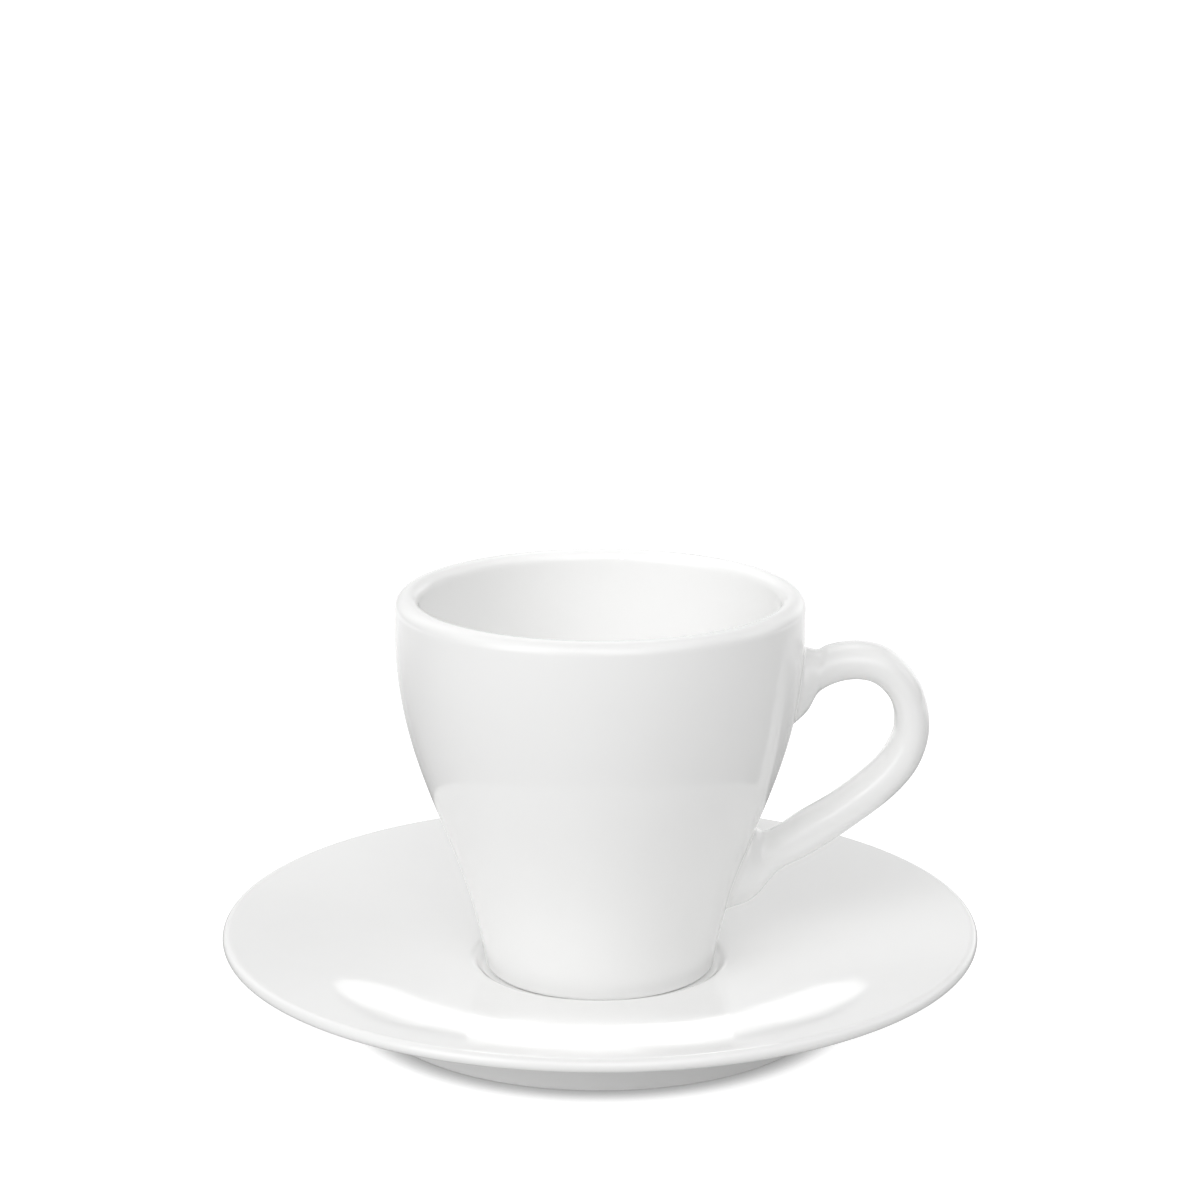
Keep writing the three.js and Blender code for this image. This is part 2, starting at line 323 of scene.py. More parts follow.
@dataclass
class Saucer(Ware):
    """Turned plate with a foot ring below and a well for the cup above. Sizes in millimetres."""

    radius: float = 60.0
    height: float = 14.1
    edge_radius: float = 1.0
    edge_steps: int = 24
    floor_thickness: float = 4.2
    foot_radius: float = 37.3
    foot_width: float = 3.0
    foot_height: float = 4.6
    foot_draft: float = 0.7
    foot_edge_radius: float = 0.6
    underside_pull: float = 2.5
    underside_slope: float = 45.0
    rim_slope: float = 10.5
    well_slope: float = 7.0
    well_floor: float = 6.9
    well_depth: float = 1.2
    well_radius: float = 19.15
    well_wall_run: float = 1.1
    corner_reach: float = 0.8

    def profile(self) -> Profile:
        """Draws the outline: recess, foot ring, underside, rim, dish and well.

        Returns:
            The outline, with heights from the foot ring's standing face.
        """
        recess = self.well_floor - self.floor_thickness
        foot_inner = self.foot_radius - self.foot_width
        edge = self.foot_edge_radius
        foot_top = (self.foot_radius + self.foot_draft, self.foot_height)
        rim = (self.radius - self.edge_radius, self.height - self.edge_radius)
        rim_below = polar(rim, self.edge_radius, self.rim_slope - 90)
        rim_above = polar(rim, self.edge_radius, self.rim_slope + 90)
        well_edge = (self.well_radius + self.well_wall_run, self.well_floor + self.well_depth)
        well_foot = (self.well_radius, self.well_floor)
        reach = self.corner_reach
        outline = Profile((0.0, recess))
        outline.corner((foot_inner - self.foot_draft, recess), (foot_inner, edge), reach)
        outline.line((foot_inner, edge))
        outline.arc((foot_inner + edge, edge), edge, 180, 270)
        outline.line((self.foot_radius - edge, 0.0), Zone.BARE)
        outline.arc((self.foot_radius - edge, edge), edge, 270, 360)
        rise = polar(foot_top, self.underside_pull, self.underside_slope)
        outline.corner(foot_top, rise, reach)
        under_pull = (rim_below[0] - foot_top[0]) / 3
        outline.curve(rise, polar(rim_below, -under_pull, self.rim_slope), rim_below)
        outline.arc(rim, self.edge_radius, self.rim_slope - 90, self.rim_slope + 90, self.edge_steps)
        dish_pull = (rim_above[0] - well_edge[0]) / 3
        outline.curve(
            polar(rim_above, -dish_pull, self.rim_slope),
            polar(well_edge, dish_pull, self.well_slope),
            polar(well_edge, reach, self.well_slope),
        )
        outline.bend(well_edge, Profile.toward(well_edge, well_foot, reach))
        outline.corner(well_foot, (0.0, self.well_floor), reach)
        outline.line((0.0, self.well_floor))
        return outline

    def build(self) -> list[bpy.types.Object]:
        """Turns the saucer and seats it in the frame.

        Returns:
            The saucer's one piece.
        """
        made = turned("saucer_plate", self.profile(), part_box("saucer")[0].z)
        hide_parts("saucer")
        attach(made, "saucer")
        return [made]


@dataclass
class CupBody(Ware):
    """Turned tulip-shaped body of the cup. Sizes in millimetres, heights from its foot."""

    height: float = 60.9
    radius: float = 32.15
    base_radius: float = 18.15
    lip_thickness: float = 3.85
    lip_inner_radius: float = 1.8
    straight_below_lip: float = 2.2
    floor_thickness: float = 5.8
    shoulder_pull: float = 25.0
    waist_pull: float = 24.0
    waist_slope: float = 8.5
    bowl_wall_pull: float = 30.0
    bowl_floor_pull: float = 15.5
    foot_width: float = 3.2
    foot_recess: float = 1.2
    foot_edge_radius: float = 0.9
    corner_reach: float = 0.5
    wall_steps: int = 120
    lip_steps: int = 20
    halvings: int = 26
    foot_plane: float = field(init=False)
    wall: tuple[Point, ...] = field(init=False)

    def __post_init__(self) -> None:
        """Finds the foot's height in the frame and the curve of the outside."""
        self.foot_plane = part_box("cup_body")[0].z
        foot = (self.base_radius, 0.0)
        shoulder = (self.radius, self.height - self.lip_outer_radius - self.straight_below_lip)
        pull = polar(foot, self.waist_pull, 90 - self.waist_slope)
        self.wall = (foot, pull, (shoulder[0], shoulder[1] - self.shoulder_pull), shoulder)

    @property
    def lip_outer_radius(self) -> float:
        """Radius of the lip's outer half."""
        return self.lip_thickness - self.lip_inner_radius

    def radius_at(self, height: float) -> float:
        """Radius of the outside at a height.

        Args:
            height: Height above the foot.

        Returns:
            Distance of the wall from the axis.
        """
        low, high = 0.0, 1.0
        for _ in range(self.halvings):
            middle = (low + high) / 2
            if cubic(self.wall, middle)[1] < height:
                low = middle
            else:
                high = middle
        return cubic(self.wall, low)[0]

    def profile(self) -> Profile:
        """Draws the outline: recess, foot, outside, lip and bowl.

        Returns:
            The outline, with heights from the foot.
        """
        slope = math.radians(self.waist_slope)
        edge = self.foot_edge_radius
        edge_centre = self.base_radius - edge * (1 - math.sin(slope)) / math.cos(slope)
        foot_inner = edge_centre - self.foot_width
        outer = self.lip_outer_radius
        lip = self.radius - outer
        bowl_top = (self.radius - self.lip_thickness, self.height - self.lip_inner_radius)
        recess_edge = (foot_inner - self.foot_recess, self.foot_recess)
        outline = Profile((0.0, self.foot_recess))
        outline.corner(recess_edge, (foot_inner, 0.0), self.corner_reach)
        outline.corner((foot_inner, 0.0), (edge_centre, 0.0), self.corner_reach)
        outline.line((edge_centre, 0.0), Zone.BARE)
        outline.arc((edge_centre, edge), edge, 270, 360 - self.waist_slope)
        tangent = outline.points[-1][1]
        outside = [cubic(self.wall, k / self.wall_steps) for k in range(1, self.wall_steps + 1)]
        outline.add([point for point in outside if point[1] > tangent])
        outline.line((self.radius, self.height - outer))
        outline.arc((lip, self.height - outer), outer, 0, 90, self.lip_steps)
        outline.arc((lip, bowl_top[1]), self.lip_inner_radius, 90, 180, self.lip_steps)
        outline.curve(
            (bowl_top[0], bowl_top[1] - self.bowl_wall_pull),
            (self.bowl_floor_pull, self.floor_thickness),
            (0.0, self.floor_thickness),
            self.wall_steps,
        )
        return outline

    def build(self) -> list[bpy.types.Object]:
        """Turns the body and seats it in the frame.

        Returns:
            The body's one piece.
        """
        made = turned("cup_bowl", self.profile(), self.foot_plane)
        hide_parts("cup_body")
        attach(made, "cup")
        return [made]


@dataclass(frozen=True)
class Section:
    """Section of the handle's strap.

    Out is its share of the way from the wall to the outermost point, and up its share of the way from the
    lower pad's middle to the upper one's. Lean is its slope in degrees, and swell its share of the strap's
    thickness.
    """

    out: float
    up: float
    lean: float
    swell: float


@dataclass
class Handle(Ware):
    """Ear-shaped strap with a pad at each end, and the slip seams that join it. Millimetres."""

    cup: CupBody
    reach: float = 17.0
    width: float = 8.8
    thickness: float = 5.8
    roundness: float = 2.3
    pad_side_flare: float = 1.2
    pad_flare_reach: float = 3.5
    upper_pad_top: float = 8.9
    upper_pad_bottom: float = 21.0
    lower_pad_top: float = 22.7
    lower_pad_bottom: float = 9.3
    root_depth: float = 6.0
    sink: float = 0.8
    seam_radius: float = 0.45
    seam_steps: int = 6
    strap_crease: float = 50.0
    seam_crease: float = 60.0
    free_share: float = 0.12
    end_crowding: float = 0.6
    normal_step: float = 0.05
    rings: int = 220
    sides: int = 72
    sections: tuple[Section, ...] = (
        Section(0.099, 1.025, 78.5, 1.705),
        Section(0.19, 1.092, 77.0, 1.265),
        Section(0.442, 1.135, 70.5, 1.065),
        Section(0.708, 1.107, 60.5, 0.975),
        Section(0.926, 0.976, 36.0, 0.925),
        Section(0.996, 0.787, 6.0, 0.955),
        Section(0.937, 0.635, -23.0, 1.01),
        Section(0.816, 0.508, -45.0, 1.02),
        Section(0.548, 0.321, -59.0, 1.02),
        Section(0.335, 0.189, -72.5, 1.125),
        Section(0.199, 0.104, -89.5, 1.17),
        Section(0.11, 0.01, -100.0, 1.895),
    )
    outside: list[Vector] = field(init=False)
    inside: list[Vector] = field(init=False)

    def __post_init__(self) -> None:
        """Works out the points of the strap's outside and inside edges."""
        upper = (self.cup.height - self.upper_pad_top, self.cup.height - self.upper_pad_bottom)
        lower = (self.lower_pad_bottom, self.lower_pad_top)
        high, low = sum(upper) / 2, sum(lower) / 2
        outermost = self.cup.radius + self.reach
        self.outside = [self.on_wall(upper[0])]
        self.inside = [self.on_wall(upper[1])]
        for section in self.sections:
            middle = self.on_wall(low + (high - low) * section.up)
            middle.x += (outermost - middle.x) * section.out
            lean = math.radians(section.lean)
            half = Vector((math.cos(lean), 0.0, math.sin(lean))) * section.swell * self.thickness / 2
            self.outside.append(middle + half)
            self.inside.append(middle - half)
        self.outside.append(self.on_wall(lower[0]))
        self.inside.append(self.on_wall(lower[1]))

    def on_wall(self, height: float) -> Vector:
        """Point of the cup's wall in the handle's plane at a height above the foot."""
        return Vector((self.cup.radius_at(height), 0.0, height))

    def clearance(self, point: Vector) -> float:
        """Distance of a point out from the cup's wall."""
        return math.hypot(point.x, point.y) - self.cup.radius_at(point.z)

    def wall_normal(self, point: Vector) -> Vector:
        """Outward normal of the cup's wall.

        Args:
            point: Point on the wall or beside it.

        Returns:
            The unit normal.
        """
        step = self.normal_step
        rise = self.cup.radius_at(point.z + step) - self.cup.radius_at(point.z - step)
        out = Vector((point.x, point.y, 0.0)).normalized()
        return (out * 2 * step + Vector((0.0, 0.0, -rise))).normalized()

    def point(self, share: float, turn: float) -> Vector:
        """Point of the strap's skin.

        Args:
            share: Share of the way round the loop. Below 0 and above 1 it runs on into the wall.
            turn: Angle round the section, 0 on the outside edge.

        Returns:
            The point, its height above the cup's foot.
        """
        inside_wall = max(0.0, -share, share - 1.0) * self.root_depth
        kept = min(1.0, max(0.0, share))
        outer, inner = smooth_line(self.outside, kept), smooth_line(self.inside, kept)
        middle = (outer + inner) / 2
        from_wall = middle.x - self.cup.radius_at(middle.z)
        flare = self.pad_side_flare * (1 - smoothstep(from_wall, 0.0, self.pad_flare_reach))
        power = 2 / self.roundness
        point = middle + (outer - middle) * signed_power(math.cos(turn), power)
        point.y = (self.width / 2 + flare) * signed_power(math.sin(turn), power)
        point.x -= inside_wall
        return point

    def landing(self, side: Side, turn: float) -> float:
        """Share of the loop at which a line of the skin meets the wall.

        Args:
            side: Pad that the line ends in.
            turn: Angle of the line round the section.

        Returns:
            The share at the wall.
        """
        sunk, free = -1.0, self.free_share
        if side is Side.LOWER:
            sunk, free = 1 - sunk, 1 - free
        for _ in range(self.cup.halvings):
            middle = (sunk + free) / 2
            if self.clearance(self.point(middle, turn)) < 0:
                sunk = middle
            else:
                free = middle
        return free

    def skin(self) -> list[list[Vector]]:
        """Works out the strap's skin, with its rings closer together at both ends.

        Returns:
            Rings of points, from the wall at the upper pad to the wall at the lower.
        """
        turns = [2 * math.pi * k / self.sides for k in range(self.sides)]
        ends = [(self.landing(Side.UPPER, t), self.landing(Side.LOWER, t)) for t in turns]
        rings = []
        for k in range(self.rings + 1):
            even = k / self.rings
            share = even - self.end_crowding * math.sin(2 * math.pi * even) / (2 * math.pi)
            rings.append([self.point(a + (b - a) * share, t) for (a, b), t in zip(ends, turns)])
        return rings

    def lifted(self, points: Sequence[Vector]) -> list[Vector]:
        """Points in the frame, in metres."""
        return [Vector((p.x * MM, p.y * MM, p.z * MM + self.cup.foot_plane)) for p in points]

    def strap(self, rings: Rings) -> bpy.types.Object:
        """Closes the skin into the strap.

        Args:
            rings: Rings of the skin.

        Returns:
            The strap, seated in the frame.
        """
        into = Vector((-self.sink, 0.0, 0.0))
        closed = [[p + into for p in rings[0]], *rings, [p + into for p in rings[-1]]]
        n = self.sides
        faces: list[tuple[int, ...]] = []
        for ring in range(len(closed) - 1):
            for k in range(n):
                a, b = ring * n + k, ring * n + (k + 1) % n
                faces.append((a, a + n, b + n, b))
        last = (len(closed) - 1) * n
        faces.append(tuple(range(n)))
        faces.append(tuple(last + n - 1 - k for k in range(n)))
        made = mesh_object("cup_strap", self.lifted([p for ring in closed for p in ring]), faces)
        made.data.set_sharp_from_angle(angle=math.radians(self.strap_crease))
        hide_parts("cup_handle")
        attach(made, "cup")
        return made

    def climb(self, order: Rings, k: int) -> Vector:
        """Direction in which the skin leaves the wall along one of its lines.

        Args:
            order: Rings of the skin, from the wall outwards.
            k: Number of the line.

        Returns:
            The unit direction.
        """
        for ring in order[1:]:
            step = ring[k] - order[0][k]
            if step.length > self.seam_radius / 2:
                return step.normalized()
        return (order[-1][k] - order[0][k]).normalized()

    def seam_row(self, order: Rings, k: int) -> list[Vector]:
        """Points across the fillet of slip at one line of the skin.

        Args:
            order: Rings of the skin, from the wall outwards.
            k: Number of the line.

        Returns:
            A point sunk in the crease, then points from the wall to the skin.
        """
        foot = order[0]
        root, middle = foot[k], sum(foot, Vector()) / len(foot)
        normal, climb = self.wall_normal(root), self.climb(order, k)
        away = (foot[(k + 1) % len(foot)] - foot[k - 1]).cross(normal).normalized()
        if away.dot(root - middle) < 0:
            away = -away
        row = [root - normal * self.sink / 2 - away * self.sink / 2]
        for step in range(self.seam_steps + 1):
            s = step / self.seam_steps
            row.append(root + (away * (1 - s) ** 2 + climb * s * s) * self.seam_radius)
        row[1] = row[1] - normal * max(0.0, self.clearance(row[1]))
        return row

    def seam(self, side: Side, rings: Rings) -> bpy.types.Object:
        """Makes the fillet of slip in the crease round a pad.

        Args:
            side: Pad that the fillet goes round.
            rings: Rings of the strap's skin.

        Returns:
            The fillet, seated in the frame.
        """
        order = list(rings) if side is Side.UPPER else list(reversed(rings))
        rows = [self.seam_row(order, k) for k in range(self.sides)]
        across = len(rows[0])
        faces = []
        for k in range(self.sides):
            n = (k + 1) % self.sides
            for j in range(across):
                i = (j + 1) % across
                face = (k * across + j, n * across + j, n * across + i, k * across + i)
                faces.append(face if side is Side.UPPER else face[::-1])
        points = self.lifted([point for row in rows for point in row])
        made = mesh_object(f"{side.value}_slip_fillet", points, faces)
        made.data.set_sharp_from_angle(angle=math.radians(self.seam_crease))
        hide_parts(f"{side.value}_slip_seam")
        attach(made, "cup")
        return made

    def build(self) -> list[bpy.types.Object]:
        """Makes the strap and its two fillets."""
        rings = self.skin()
        return [self.strap(rings), self.seam(Side.UPPER, rings), self.seam(Side.LOWER, rings)]


class NodeSheet:
    """Short way to place and join nodes in a tree."""

    def __init__(self, tree: bpy.types.NodeTree) -> None:
        """Starts on a tree."""
        self.tree = tree

    def add(self, kind: str, **values: object) -> bpy.types.Node:
        """Adds a node.

        Args:
            kind: Node type.
            values: Properties of the node, and its inputs by name with spaces as underscores.

        Returns:
            The new node.
        """
        node = self.tree.nodes.new(kind)
        for name, value in values.items():
            if hasattr(node, name):
                setattr(node, name, value)
            else:
                node.inputs[name.replace("_", " ")].default_value = value
        return node

    def join(self, source: bpy.types.NodeSocket, target: bpy.types.NodeSocket) -> None:
        """Joins an output to an input."""
        self.tree.links.new(source, target)

    def choose(
        self, share: bpy.types.NodeSocket, first: bpy.types.NodeSocket, second: bpy.types.NodeSocket
    ) -> bpy.types.NodeSocket:
        """Mixes two shaders.

        Args:
            share: Output that gives the second shader's share.
            first: Shader at a share of 0.
            second: Shader at a share of 1.

        Returns:
            The mixed shader.
        """
        mix = self.add("ShaderNodeMixShader")
        for source, target in zip((share, first, second), mix.inputs):
            self.join(source, target)
        return mix.outputs[0]


@dataclass(frozen=True)
class Ramp:
    """Smooth change from start to end, as another value goes from low to high."""

    low: float
    high: float
    start: float
    end: float

    def add_to(self, sheet: NodeSheet, value: bpy.types.NodeSocket) -> bpy.types.NodeSocket:
        """Adds the ramp to a tree.

        Args:
            sheet: Sheet to build on.
            value: Output that drives the ramp.

        Returns:
            The ramp's result.
        """
        ramp = sheet.add(
            "ShaderNodeMapRange",
            interpolation_type="SMOOTHSTEP",
            From_Min=self.low,
            From_Max=self.high,
            To_Min=self.start,
            To_Max=self.end,
        )
        sheet.join(value, ramp.inputs["Value"])
        return ramp.outputs["Result"]


def blank_material(name: str) -> tuple[bpy.types.Material, NodeSheet, bpy.types.NodeSocket]:
    """Starts a material that has no shader yet.

    Args:
        name: Name of the material.

    Returns:
        The material, the sheet to build on and the input for its surface.
    """
    made = bpy.data.materials.new(name)
    made.use_nodes = True
    made.node_tree.nodes.clear()
    sheet = NodeSheet(made.node_tree)
    return made, sheet, sheet.add("ShaderNodeOutputMaterial").inputs["Surface"]


def group_tree(
    name: str, inputs: dict[str, float], outputs: Sequence[str]
) -> tuple[NodeSheet, bpy.types.Node, bpy.types.Node]:
    """Starts a shader node group with number sockets.

    Args:
        name: Name of the group.
        inputs: Names and usual values of its inputs.
        outputs: Names of its outputs.

    Returns:
        The sheet to build on, the group's input node and its output node.
    """
    tree = bpy.data.node_groups.new(name, "ShaderNodeTree")
    for socket, value in inputs.items():
        made = tree.interface.new_socket(socket, in_out="INPUT", socket_type="NodeSocketFloat")
        made.default_value = value
    for socket in outputs:
        tree.interface.new_socket(socket, in_out="OUTPUT", socket_type="NodeSocketFloat")
    sheet = NodeSheet(tree)
    return sheet, sheet.add("NodeGroupInput"), sheet.add("NodeGroupOutput")


def firing_ripple_group() -> bpy.types.NodeTree:
    """Slow waves and fine orange peel that firing leaves in a skin.

    Returns:
        The node group, which puts out the height of both and the waves alone.
    """
    sheet, given, out = group_tree(
        "firing_ripple", {"Wave Scale": 60.0, "Peel Scale": 700.0, "Peel Share": 0.25}, ["Height", "Wave"]
    )
    place = sheet.add("ShaderNodeTexCoord")
    wave = sheet.add("ShaderNodeTexNoise", Detail=2.0, Roughness=0.4)
    peel = sheet.add("ShaderNodeTexNoise", Detail=2.0, Roughness=0.5)
    mix = sheet.add("ShaderNodeMix", data_type="FLOAT")
    for noise, scale, number in ((wave, "Wave Scale", MIX_NUMBERS[0]), (peel, "Peel Scale", MIX_NUMBERS[1])):
        sheet.join(place.outputs["Object"], noise.inputs["Vector"])
        sheet.join(given.outputs[scale], noise.inputs["Scale"])
        sheet.join(noise.outputs["Fac"], mix.inputs[number])
    sheet.join(given.outputs["Peel Share"], mix.inputs[MIX_FACTOR])
    sheet.join(mix.outputs[MIX_NUMBER_OUT], out.inputs["Height"])
    sheet.join(wave.outputs["Fac"], out.inputs["Wave"])
    return sheet.tree


def kiln_speck_group() -> bpy.types.NodeTree:
    """Sparse pin-prick specks from the kiln.

    Returns:
        The node group, which puts out a mask of the specks.
    """
    sheet, given, out = group_tree("kiln_specks", {"Density": 160.0, "Size": 0.02, "Kept": 0.06}, ["Speck"])
    place = sheet.add("ShaderNodeTexCoord")
    cells = sheet.add("ShaderNodeTexVoronoi", feature="F1")
    near = sheet.add("ShaderNodeMath", operation="LESS_THAN")
    apart = sheet.add("ShaderNodeSeparateColor")
    rare = sheet.add("ShaderNodeMath", operation="LESS_THAN")
    both = sheet.add("ShaderNodeMath", operation="MULTIPLY")
    sheet.join(place.outputs["Object"], cells.inputs["Vector"])
    sheet.join(given.outputs["Density"], cells.inputs["Scale"])
    sheet.join(cells.outputs["Distance"], near.inputs[0])
    sheet.join(given.outputs["Size"], near.inputs[1])
    sheet.join(cells.outputs["Color"], apart.inputs[0])
    sheet.join(apart.outputs[0], rare.inputs[0])
    sheet.join(given.outputs["Kept"], rare.inputs[1])
    sheet.join(near.outputs[0], both.inputs[0])
    sheet.join(rare.outputs[0], both.inputs[1])
    sheet.join(both.outputs[0], out.inputs["Speck"])
    return sheet.tree


@dataclass(frozen=True)
class Ceramic:
    """Fired surface: its colours, its range of gloss and its firing marks."""

    name: str
    light: Colour
    deep: Colour
    speck: Colour
    smoothest: float
    roughest: float
    ripple_depth: float
    ripple: dict[str, float]
    specks: dict[str, float]
    refraction: float = 1.5

    def material(self, ripple: bpy.types.NodeTree, specks: bpy.types.NodeTree) -> bpy.types.Material:
        """Builds the finish.

        Args:
            ripple: Group of the firing ripple.
            specks: Group of the kiln specks.

        Returns:
            The new material.
        """
        made = bpy.data.materials.new(self.name)
        made.use_nodes = True
        sheet = NodeSheet(made.node_tree)
        shader = made.node_tree.nodes["Principled BSDF"]
        shader.inputs["IOR"].default_value = self.refraction
        waves = sheet.add("ShaderNodeGroup", node_tree=ripple)
        marks = sheet.add("ShaderNodeGroup", node_tree=specks)
        for node, values in ((waves, self.ripple), (marks, self.specks)):
            for name, value in values.items():
                node.inputs[name].default_value = value
        under, over = MIX_COLOURS
        tone = sheet.add("ShaderNodeMix", data_type="RGBA")
        tone.inputs[under].default_value = (*self.deep, 1.0)
        tone.inputs[over].default_value = (*self.light, 1.0)
        sheet.join(waves.outputs["Wave"], tone.inputs[MIX_FACTOR])
        spotted = sheet.add("ShaderNodeMix", data_type="RGBA")
        spotted.inputs[over].default_value = (*self.speck, 1.0)
        sheet.join(marks.outputs["Speck"], spotted.inputs[MIX_FACTOR])
        sheet.join(tone.outputs[MIX_COLOUR_OUT], spotted.inputs[under])
        sheet.join(spotted.outputs[MIX_COLOUR_OUT], shader.inputs["Base Color"])
        gloss = sheet.add("ShaderNodeMapRange", To_Min=self.smoothest, To_Max=self.roughest)
        sheet.join(waves.outputs["Height"], gloss.inputs["Value"])
        sheet.join(gloss.outputs["Result"], shader.inputs["Roughness"])
        bump = sheet.add("ShaderNodeBump", Strength=1.0, Distance=self.ripple_depth)
        sheet.join(waves.outputs["Height"], bump.inputs["Height"])
        sheet.join(bump.outputs["Normal"], shader.inputs["Normal"])
        return made


GLAZE = Ceramic(
    name="white_glaze",
    light=(0.925, 0.925, 0.92),
    deep=(0.91, 0.91, 0.905),
    speck=(0.55, 0.52, 0.48),
    smoothest=0.05,
    roughest=0.08,
    ripple_depth=0.00002,
    ripple={"Wave Scale": 90.0, "Peel Scale": 900.0, "Peel Share": 0.06},
    specks={"Density": 170.0, "Size": 0.018, "Kept": 0.02},
)
BISQUE = Ceramic(
    name="bare_porcelain",
    light=(0.74, 0.72, 0.69),
    deep=(0.66, 0.64, 0.6),
    speck=(0.42, 0.38, 0.33),
    smoothest=0.55,
    roughest=0.75,
    ripple_depth=0.00006,
    ripple={"Wave Scale": 300.0, "Peel Scale": 2600.0, "Peel Share": 0.6},
    specks={"Density": 500.0, "Size": 0.06, "Kept": 0.12},
)


@dataclass(frozen=True)
class Glow:
    """Soft round patch of light far off in the studio.

    Azimuth in degrees from the handle's side towards the back, elevation in degrees above the table.
    """

    azimuth: float
    elevation: float
    strength: float

    @property
    def direction(self) -> Place:
        """Unit vector towards the middle of the patch."""
        turn, rise = math.radians(self.azimuth), math.radians(self.elevation)
        return math.cos(turn) * math.cos(rise), math.sin(turn) * math.cos(rise), math.sin(rise)

    def add_to(
        self,
        sheet: NodeSheet,
        way: bpy.types.NodeSocket,
        tightness: float,
        before: bpy.types.NodeSocket | None,
    ) -> bpy.types.NodeSocket:
        """Adds the patch to the light of the patches before it.

        Args:
            sheet: Sheet to build on.
            way: Output that gives the direction looked in.
            tightness: How fast the patch fades from its middle.
            before: Light of the patches before, none for the first.

        Returns:
            The light with this patch.
        """
        near = sheet.add("ShaderNodeVectorMath", operation="DOT_PRODUCT")
        near.inputs[1].default_value = self.direction
        fall = sheet.add("ShaderNodeMath", operation="MULTIPLY_ADD")
        fall.inputs[1].default_value = tightness
        fall.inputs[2].default_value = -tightness
        soft = sheet.add("ShaderNodeMath", operation="EXPONENT")
        total = sheet.add("ShaderNodeMath", operation="MULTIPLY_ADD")
        total.inputs[1].default_value = self.strength
        total.inputs[2].default_value = 0.0
        sheet.join(way, near.inputs[0])
        sheet.join(near.outputs["Value"], fall.inputs[0])
        sheet.join(fall.outputs[0], soft.inputs[0])
        sheet.join(soft.outputs[0], total.inputs[0])
        if before is not None:
            sheet.join(before, total.inputs[2])
        return total.outputs[0]


@dataclass(frozen=True)
class Snoot:
    """Lamp with a narrow cone that lights the bowl's far wall. Metres and watts."""

    place: Place = (-0.12, -0.42, 0.46)
    aim: Place = (0.006, 0.027, 0.064)
    reach: float = 0.02
    softness: float = 0.9
    radius: float = 0.03
    power: float = 8.0

    def build(self) -> bpy.types.Object:
        """Hangs the lamp in the studio.

        Returns:
            The lamp.
        """
        way = Vector(self.aim) - Vector(self.place)
        data = bpy.data.lights.new("bowl_snoot", "SPOT")
        data.energy = self.power
        data.shadow_soft_size = self.radius
        data.spot_size = 2 * math.atan(self.reach / way.length)
        data.spot_blend = self.softness
        made = bpy.data.objects.new("bowl_snoot", data)
        made.location = self.place
        made.rotation_euler = way.to_track_quat("-Z", "Y").to_euler()
        bpy.context.scene.collection.objects.link(made)
        return made


@dataclass(frozen=True)
class GlintCard:
    """Bent strip of light behind the cup, seen only as the crescent in the saucer's front.

    A smooth line passes through each edge's points, which are distances to the side and heights in
    millimetres, from the strip's end to its middle. The other half mirrors them. From the upper edge to the
    lower one, the strip is fully bright up to full_share of the way and dark from end_share on.
    """

    distance: float = 400.0
    brightness: float = 1.75
    full_share: float = 0.85
    end_share: float = 1.15
    span_steps: int = 4
    upper_edge: tuple[Point, ...] = (
        (41.3, 100.6),
        (38.1, 105.8),
        (31.4, 100.1),
        (25.6, 76.7),
        (16.5, 52.7),
        (0.0, 42.4),
    )
    lower_edge: tuple[Point, ...] = (
        (41.7, 98.9),
        (42.8, 89.0),
        (39.6, 69.2),
        (31.1, 52.2),
        (19.0, 37.9),
        (0.0, 31.0),
    )

    def edge(self, half: Sequence[Point]) -> list[Vector]:
        """Points along a whole edge of the strip.

        Args:
            half: Points from the strip's end to its middle, in millimetres.

        Returns:
            Points from end to end, in metres.
        """
        whole = [*half, *((-side, height) for side, height in reversed(half[:-1]))]
        knots = [Vector((side, self.distance, height)) * MM for side, height in whole]
        count = self.span_steps * (len(knots) - 1)
        return [smooth_line(knots, k / count) for k in range(count + 1)]

    def build(self, passed: Sequence[bpy.types.Object]) -> bpy.types.Object:
        """Hangs the strip so that its light passes some pieces by.

        Args:
            passed: Pieces that neither mirror nor block the strip.

        Returns:
            The strip.
        """
        edges = list(zip(self.edge(self.upper_edge), self.edge(self.lower_edge)))
        rows = {0.0: 1.0, self.full_share: 1.0, self.end_share: 0.0}
        points = [upper + (lower - upper) * share for upper, lower in edges for share in rows]
        width = len(rows)
        faces = []
        for k in range(len(edges) - 1):
            for row in range(width - 1):
                a = width * k + row
                faces.append((a, a + 1, a + width + 1, a + width))
        made = mesh_object("glint_card", points, faces)
        fade = made.data.attributes.new("fade", "FLOAT", "POINT")
        fade.data.foreach_set("value", list(rows.values()) * len(edges))
        made.data.materials.append(self.material())
        made.visible_camera = False
        made.visible_diffuse = False
        apart = bpy.data.collections.new("glint_passed")
        for piece in passed:
            apart.objects.link(piece)
        for member in apart.collection_objects:
            member.light_linking.link_state = "EXCLUDE"
        made.light_linking.receiver_collection = apart
        made.light_linking.blocker_collection = apart
        return made

    def material(self) -> bpy.types.Material:
        """Builds the strip's glow, which fades to its lower edge.

        Returns:
            The new material.
        """
        made, sheet, surface = blank_material("glint_glow")
        fade = sheet.add("ShaderNodeAttribute", attribute_name="fade")
        scale = sheet.add("ShaderNodeMath", operation="MULTIPLY")
        scale.inputs[1].default_value = self.brightness
        glow = sheet.add("ShaderNodeEmission", Color=(1.0, 1.0, 1.0, 1.0))
        sheet.join(fade.outputs["Fac"], scale.inputs[0])
        sheet.join(scale.outputs[0], glow.inputs["Strength"])
        sheet.join(glow.outputs[0], surface)
        return made


